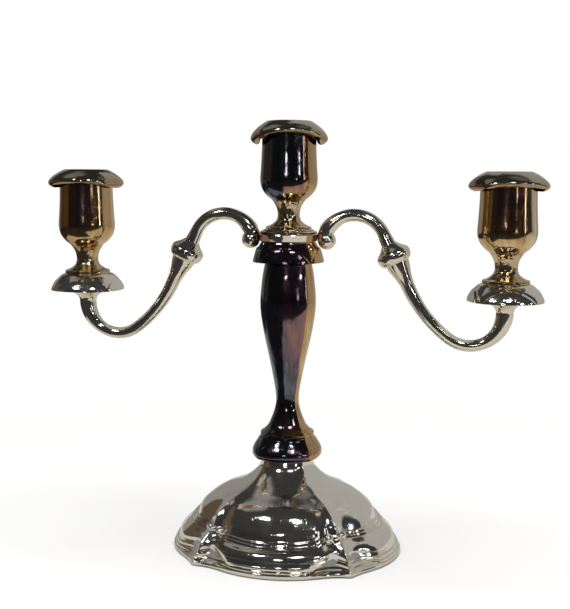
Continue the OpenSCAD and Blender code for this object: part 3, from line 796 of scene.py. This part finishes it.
def silver(name, film, patches, bands=(), left=None, right=None, under=0.0, streaks=0.1, shade=1.0,
           waves=0.3, grain=75):
    """Silver plate under tarnish. film is the tarnish on its front and patches how far it varies.
    bands are (height, half height, tarnish added there). left and right are painted reflections: the
    tarnish values given to the faces towards -X and +X, so that they take the colours of the walls they
    mirror, each with the values of the normal's x where it starts and is full. under is painted shade,
    added to the tarnish value on the faces that look down. streaks is how far upright streaks of tarnish
    vary. shade darkens it all, waves is how uneven the sheet is, and grain how closely."""
    material = bpy.data.materials.new(name)
    s = Shader(material)
    where = s.node("ShaderNodeTexCoord")
    place = where.outputs["Object"]
    facing = s.node("ShaderNodeSeparateXYZ", {0: where.outputs["Normal"]})
    height = s.node("ShaderNodeSeparateXYZ", {0: place}).outputs[2]

    cloud = s.noise(place, 55, 4, 0.6, 0.4)
    depth = s.math("ADD", s.swing(cloud, 2 * patches), film)
    # The bands' edges wander up and down
    wander = s.swing(s.noise(place, 120, 3), 12 * MM)
    for middle, half, amount in bands:
        away = s.math("ABSOLUTE", s.math("SUBTRACT", s.math("ADD", height, wander), middle * MM))
        depth = s.math("ADD", depth, s.smooth(away, half * MM, 0.2 * half * MM, 0, amount))
    # Painted reflection: faces towards -X and +X are pulled to their own tarnish value, so that they take
    # the colours of the side walls they mirror
    for side in (left, right):
        if side:
            painted_reflection_film, start, full = side
            share = s.smooth(facing.outputs[0], start, full)
            depth = s.math("ADD", depth, s.math("MULTIPLY", share, s.math("SUBTRACT", painted_reflection_film, depth)))
    # Painted shade: faces that look down get a higher tarnish value, which makes them darker
    if under:
        depth = s.math("ADD", depth, s.smooth(facing.outputs[2], -0.1, -0.6, 0, under))
    upright = s.noise(s.stretched(place, (80, 80, 4)), 3, 3, 0.6)
    depth = s.math("ADD", depth, s.swing(upright, 2 * streaks))
    colour = s.mix_colour(1.0, s.ramp(depth, FILM), (shade, shade, shade), "MULTIPLY")

    # Smears dull the polish, fine scratches cross it, and the sheet is never quite even
    smear = s.smooth(s.noise(place, 90, 5, 0.7), 0.35, 0.75, 0, 0.10)
    rough = s.math("ADD", smear, POLISHED_ROUGHNESS)
    lines = s.noise(s.stretched(place, (60, 900, 60), (20, 35, 50)), 3, 2)
    crossed = s.noise(s.stretched(place, (900, 50, 50), (-30, 15, -25)), 3, 2)
    scratch = s.math("ADD", s.smooth(lines, 0.62, 0.68), s.smooth(crossed, 0.63, 0.69))
    fine = s.node("ShaderNodeBump", {"Height": scratch, "Strength": SCRATCH_STRENGTH,
                                     "Distance": 0.02 * MM})
    swell = s.noise(place, grain, 3, 0.5)
    bump = s.node("ShaderNodeBump", {"Height": swell, "Strength": waves, "Distance": 0.6 * MM,
                                     "Normal": fine.outputs[0]})
    inputs = {"Base Color": colour, "Metallic": 1.0, "Roughness": rough, "Normal": bump.outputs[0]}
    s.surface(s.node("ShaderNodeBsdfPrincipled", inputs))
    return material


def metal(name, dark, light, roughness, grain):
    """Plain metal for hidden pieces, with fine turned rings."""
    material = bpy.data.materials.new(name)
    s = Shader(material)
    place = s.node("ShaderNodeTexCoord").outputs["Object"]
    turned = s.noise(s.stretched(place, (grain, grain, 20 * grain)), 5, 4)
    colour = s.ramp(s.noise(place, 220, 4), [(0.3, dark), (0.7, light)])
    rough = s.smooth(turned, 0.3, 0.7, roughness, roughness + 0.15)
    bump = s.node("ShaderNodeBump", {"Height": turned, "Strength": 0.4, "Distance": 0.05 * MM})
    inputs = {"Base Color": colour, "Metallic": 1.0, "Roughness": rough, "Normal": bump.outputs[0]}
    s.surface(s.node("ShaderNodeBsdfPrincipled", inputs))
    return material


def matt(name, dark, light, roughness, scale, bump_depth):
    """Dull surface with a fine pattern, for filler and felt."""
    material = bpy.data.materials.new(name)
    s = Shader(material)
    place = s.node("ShaderNodeTexCoord").outputs["Object"]
    grain = s.noise(place, scale, 6, 0.75)
    colour = s.ramp(grain, [(0.3, dark), (0.7, light)])
    bump = s.node("ShaderNodeBump", {"Height": grain, "Strength": 0.8, "Distance": bump_depth * MM})
    inputs = {"Base Color": colour, "Metallic": 0.0, "Roughness": roughness, "Normal": bump.outputs[0]}
    s.surface(s.node("ShaderNodeBsdfPrincipled", inputs))
    return material


# ---- Materials and pieces ----

# In the calls below, left and right paint the reflections of the side walls into the colour, and under
# paints shade on the faces that look down
FOOT_SILVER = silver("foot_silver", 0.05, 0.05, [(18.8, 1.6, 0.10), (4.5, 2.5, 0.10)])
ARM_SILVER = silver("arm_silver", 0.12, 0.07, under=0.06)
SIDE_PAN_SILVER = silver("side_pan_silver", 0.09, 0.08, waves=0.5, grain=150)
NOZZLE_SILVER = silver("nozzle_silver", 0.17, 0.12, left=(0.38, -0.4, -0.75), right=(0.28, 0.45, 0.8),
                       under=0.22, shade=0.62, waves=0.5, grain=140)
HUB_GILT = silver("hub_gilt", 0.14, 0.06, left=(0.62, -0.2, -0.4), right=(0.48, 0.5, 0.68))
SPOOL_GILT = silver("spool_gilt", 0.32, 0.24, shade=0.85, waves=1.0, grain=220)
LEFT_CUP_GILT = silver("left_cup_gilt", 0.63, 0.08, [(181, 14, -0.26)], (0.46, -0.1, -0.4),
                       (0.36, 0.4, 0.7), streaks=0.25, waves=0.2, grain=110)
RIGHT_CUP_GILT = silver("right_cup_gilt", 0.58, 0.10, [(181, 14, -0.22)], (0.38, -0.3, -0.6),
                        (0.28, 0.45, 0.7), streaks=0.25, waves=0.2, grain=110)
CENTRE_CUP_DARK = silver("centre_cup_dark", 0.86, 0.04, [(211, 9, -0.38)], (0.92, 0.03, -0.06),
                         (0.42, 0.56, 0.68))
STEM_DARK = silver("stem_dark", 0.80, 0.10, [(130, 22, -0.08), (101, 16, 0.09), (70, 9, -0.36)],
                   (0.86, 0.04, -0.04), (0.40, 0.5, 0.7), streaks=0.3)
KNOP_DARK = silver("knop_dark", 0.84, 0.04, left=(0.9, -0.2, -0.5), right=(0.45, 0.4, 0.7),
                   streaks=0.2, waves=0.5, grain=120)
PAN_DARK = silver("pan_dark", 0.80, 0.10, left=(0.9, -0.2, -0.5), right=(0.38, 0.4, 0.7),
                  waves=0.7, grain=150)
STEEL = metal("steel", (0.42, 0.42, 0.43), (0.62, 0.62, 0.62), 0.25, 12)
BRASS = metal("brass", (0.55, 0.40, 0.16), (0.78, 0.60, 0.30), 0.25, 12)
TIN = metal("tin_plate", (0.48, 0.48, 0.48), (0.66, 0.66, 0.65), 0.35, 6)
FILLER = matt("filler", (0.16, 0.15, 0.14), (0.30, 0.28, 0.26), 0.9, 300, 0.3)
FELT = matt("green_felt", (0.012, 0.045, 0.02), (0.03, 0.10, 0.045), 1.0, 1500, 0.4)

BODY_OF = {node: body for body, nodes in frame["record"]["behaviour"]["bodies"].items() for node in nodes}


def install(piece, node, material):
    """Gives a piece its material and body, in place of a CAD node."""
    piece.data.materials.clear()
    piece.data.materials.append(material)
    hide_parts(node)
    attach(piece, BODY_OF[node])


install(foot(), "foot_shell", FOOT_SILVER)
beads = foot_beads()
beads.data.materials.append(FOOT_SILVER)
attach(beads, BODY_OF["foot_shell"])
install(knop(), "lower_knop", KNOP_DARK)
install(stem(), "stem", STEM_DARK)
install(socket_pan(), "socket_pan", PAN_DARK)
install(hub(), "branch_hub", HUB_GILT)
for side, mirror in (("left", -1), ("right", 1)):
    install(inner_arm(side, mirror), f"{side}_inner_arm", ARM_SILVER)
    install(scroll_ball(side, mirror), f"{side}_scroll_ball", ARM_SILVER)
    install(arm_collar(side, mirror), f"{side}_arm_collar", ARM_SILVER)
    install(outer_arm(side, mirror), f"{side}_outer_arm", ARM_SILVER)
    install(side_pan(side), f"{side}_pan", SIDE_PAN_SILVER)
CUP_METALS = {"left": LEFT_CUP_GILT, "centre": CENTRE_CUP_DARK, "right": RIGHT_CUP_GILT}
for side, cup_material in CUP_METALS.items():
    install(spool(side), f"{side}_spool", SPOOL_GILT)
    install(cup(side), f"{side}_cup", cup_material)
    install(nozzle(side), f"{side}_nozzle", NOZZLE_SILVER)

# CAD pieces that stay as they are, and their materials
CARRIED_OVER = {
    "foot_weight": FILLER, "base_plate": TIN, "felt_pad": FELT, "stem_liner": STEEL, "tie_rod": STEEL,
    "rod_washer": STEEL, "rod_nut": BRASS, "branch_spigot": ARM_SILVER, "left_pan_base": SIDE_PAN_SILVER,
    "right_pan_base": SIDE_PAN_SILVER, "cup_studs": STEEL, "cup_nuts": BRASS,
}
for node, material in CARRIED_OVER.items():
    for material_slot in frame["nodes"][node].material_slots:
        material_slot.material = material


# ---- Studio ----

CENTRE = Vector((0, 0, 146.5))


def direction(azimuth, elevation):
    """Unit vector. Azimuth 0 is towards the front, 90 towards +X."""
    return Vector((sin(azimuth) * cos(elevation), -cos(azimuth) * cos(elevation), sin(elevation)))


def card(name, azimuths, elevations, colour, strength, distance, soft):
    """Glowing patch of a sphere around the object, seen only in reflections. soft is the width of its
    soft edges, as a share of its own width and height."""
    across = 24
    points = []
    faces = []
    shares = []
    for j in range(across + 1):
        for i in range(across + 1):
            azimuth = mix(azimuths[0], azimuths[1], i / across)
            elevation = mix(elevations[0], elevations[1], j / across)
            points.append(CENTRE + distance * direction(azimuth, elevation))
            shares.append((i / across, j / across))
    for j in range(across):
        for i in range(across):
            corner = j * (across + 1) + i
            faces.append((corner, corner + 1, corner + across + 2, corner + across + 1))
    patch = make_mesh(name, points, faces)
    layer = patch.data.uv_layers.new(name="share")
    for loop in patch.data.loops:
        layer.data[loop.index].uv = shares[loop.vertex_index]

    material = bpy.data.materials.new(name)
    s = Shader(material)
    split = s.node("ShaderNodeSeparateXYZ", {0: s.node("ShaderNodeTexCoord").outputs["UV"]})
    shape = None
    for axis in (0, 1):
        inset = s.math("SUBTRACT", 0.5, s.math("ABSOLUTE", s.math("SUBTRACT", split.outputs[axis], 0.5)))
        edge = s.smooth(inset, 0.0, soft)
        shape = edge if shape is None else s.math("MULTIPLY", shape, edge)
    glow = s.node("ShaderNodeEmission", {"Color": (*colour, 1), "Strength": strength})
    clear = s.node("ShaderNodeBsdfTransparent")
    s.surface(s.node("ShaderNodeMixShader", {0: shape, 1: clear.outputs[0], 2: glow.outputs[0]}))
    patch.data.materials.append(material)
    patch.visible_camera = False
    patch.visible_diffuse = False
    patch.visible_shadow = False


# Lamps of the dark room: azimuth, elevation, width, height in degrees, and strength
LAMPS = [(0, 11.5, 6.5, 2.0, 40), (48, 12, 4.5, 2.6, 45), (66, 4, 1.6, 18, 14), (36, 1, 2.2, 8, 11),
         (-29, 41, 12, 9, 32), (21, 42, 12, 9, 32), (40, 29, 4, 3, 22)]


def studio():
    """Dark room with small lamps in front, pale walls to the sides and behind, and pale patches high
    up. A brown door and shelf stand at the left."""
    plaster = (1.0, 0.97, 0.92)
    brown = (1.0, 0.72, 0.48)
    cool = (0.92, 0.96, 1.0)
    card("right_wall", (91, 192), (-45, 55), plaster, 0.40, 1600, 0.03)
    card("right_top", (84, 175), (57, 76), plaster, 0.15, 1600, 0.2)
    card("left_wall", (-169, -104), (-45, 32), plaster, 0.27, 1620, 0.08)
    card("left_door", (-122, -84), (-45, 31), brown, 0.10, 1610, 0.05)
    card("left_shelf", (-84, -56), (-12, 14), brown, 0.10, 1590, 0.05)
    card("left_top", (-152, -68), (46, 73), plaster, 0.24, 1600, 0.2)
    for azimuth, elevation, wide, tall, strength in LAMPS:
        azimuths = (azimuth - wide / 2, azimuth + wide / 2)
        elevations = (elevation - tall / 2, elevation + tall / 2)
        card(f"lamp_{azimuth % 360}_{elevation}", azimuths, elevations, cool, strength, 1400, 0.3)


def floor():
    """Pale floor. Reflections see it only near the object, with a ragged edge, and not in front of it
    on the left."""
    size = 4000
    corners = [(-size, -size, 0), (size, -size, 0), (size, size, 0), (-size, size, 0)]
    piece = make_mesh("floor", corners, [(0, 1, 2, 3)])
    material = bpy.data.materials.new("floor")
    s = Shader(material)
    place = s.node("ShaderNodeTexCoord").outputs["Object"]
    split = s.node("ShaderNodeSeparateXYZ", {0: place})
    ragged = s.swing(s.noise(place, 24, 3, 0.6), 0.09)
    front = s.smooth(s.math("ADD", split.outputs[1], ragged), -0.33, -0.32)
    left = s.smooth(s.math("ADD", split.outputs[0], ragged), -0.37, -0.35)
    beside = s.smooth(s.math("ADD", split.outputs[0], ragged), -0.055, -0.045)
    behind = s.smooth(s.math("ADD", split.outputs[1], ragged), -0.10, -0.08)
    near = s.math("MULTIPLY", s.math("MULTIPLY", front, left), s.math("MAXIMUM", beside, behind))
    path = s.node("ShaderNodeLightPath")
    mirrored = s.mix_colour(near, (0.03, 0.03, 0.033), (0.50, 0.485, 0.45))
    colour = s.mix_colour(path.outputs["Is Glossy Ray"], (0.86, 0.855, 0.845), mirrored)
    shader = s.node("ShaderNodeBsdfPrincipled", {"Base Color": colour, "Roughness": 0.9})
    shader.inputs["Specular IOR Level"].default_value = 0.1
    # Away from the object the floor fades into the white behind it
    far = s.node("ShaderNodeVectorMath", {0: place}, operation="LENGTH").outputs["Value"]
    fade = s.math("MULTIPLY", s.smooth(far, 0.10, 0.55), path.outputs["Is Camera Ray"])
    white = s.node("ShaderNodeEmission", {"Color": (1, 1, 1, 1), "Strength": 1.0})
    s.surface(s.node("ShaderNodeMixShader", {0: fade, 1: shader.outputs[0], 2: white.outputs[0]}))
    piece.data.materials.append(material)


def surroundings():
    """White behind the object, soft fill for matt surfaces, and a dark room in reflections."""
    world = bpy.data.worlds.new("surroundings")
    bpy.context.scene.world = world
    s = Shader(world)
    path = s.node("ShaderNodeLightPath")
    white = s.node("ShaderNodeBackground", {"Color": (1, 1, 1, 1), "Strength": 1.0})
    fill = s.node("ShaderNodeBackground", {"Color": (1, 1, 1, 1), "Strength": 0.55})
    up = s.node("ShaderNodeSeparateXYZ", {0: s.node("ShaderNodeTexCoord").outputs["Generated"]}).outputs[2]
    gloom = s.smooth(up, 0.12, 0.40, 0.026, 0.034)
    dark = s.node("ShaderNodeBackground", {"Color": (1, 1, 1, 1), "Strength": gloom})
    glossy = path.outputs["Is Glossy Ray"]
    unseen = s.node("ShaderNodeMixShader", {0: glossy, 1: fill.outputs[0], 2: dark.outputs[0]})
    seen = path.outputs["Is Camera Ray"]
    shader = s.node("ShaderNodeMixShader", {0: seen, 1: unseen.outputs[0], 2: white.outputs[0]})
    s.surface(shader, "ShaderNodeOutputWorld")


def overhead():
    """Large soft lamp over the object. It lights the floor and isn't mirrored in the silver."""
    data = bpy.data.lights.new("overhead", "AREA")
    data.shape = "DISK"
    data.size = 1.6
    data.energy = 26
    lamp = bpy.data.objects.new("overhead", data)
    lamp.location = (0.1, -0.2, 1.7)
    lamp.rotation_euler = (math.radians(-6), 0, 0)
    lamp.visible_glossy = False
    bpy.context.scene.collection.objects.link(lamp)


def camera():
    """Camera a little right of the front, looking slightly down."""
    azimuth = 11.25
    elevation = 7.1
    distance = 598.0
    roll = 0.38
    aside = 1.85
    back = direction(azimuth, elevation)
    right = Vector((cos(azimuth), sin(azimuth), 0))
    target = CENTRE - aside * right
    data = bpy.data.cameras.new("camera")
    data.sensor_width = 36
    data.lens = 59.94
    data.clip_start = 0.05
    data.clip_end = 20
    eye = bpy.data.objects.new("camera", data)
    turn = (-back).to_track_quat("-Z", "Y")
    eye.rotation_mode = "QUATERNION"
    eye.rotation_quaternion = Quaternion(back, math.radians(roll)) @ turn
    eye.location = (target + distance * back) * MM
    bpy.context.scene.collection.objects.link(eye)
    bpy.context.scene.camera = eye


studio()
floor()
surroundings()
overhead()
camera()
bpy.context.scene.view_settings.view_transform = "Standard"
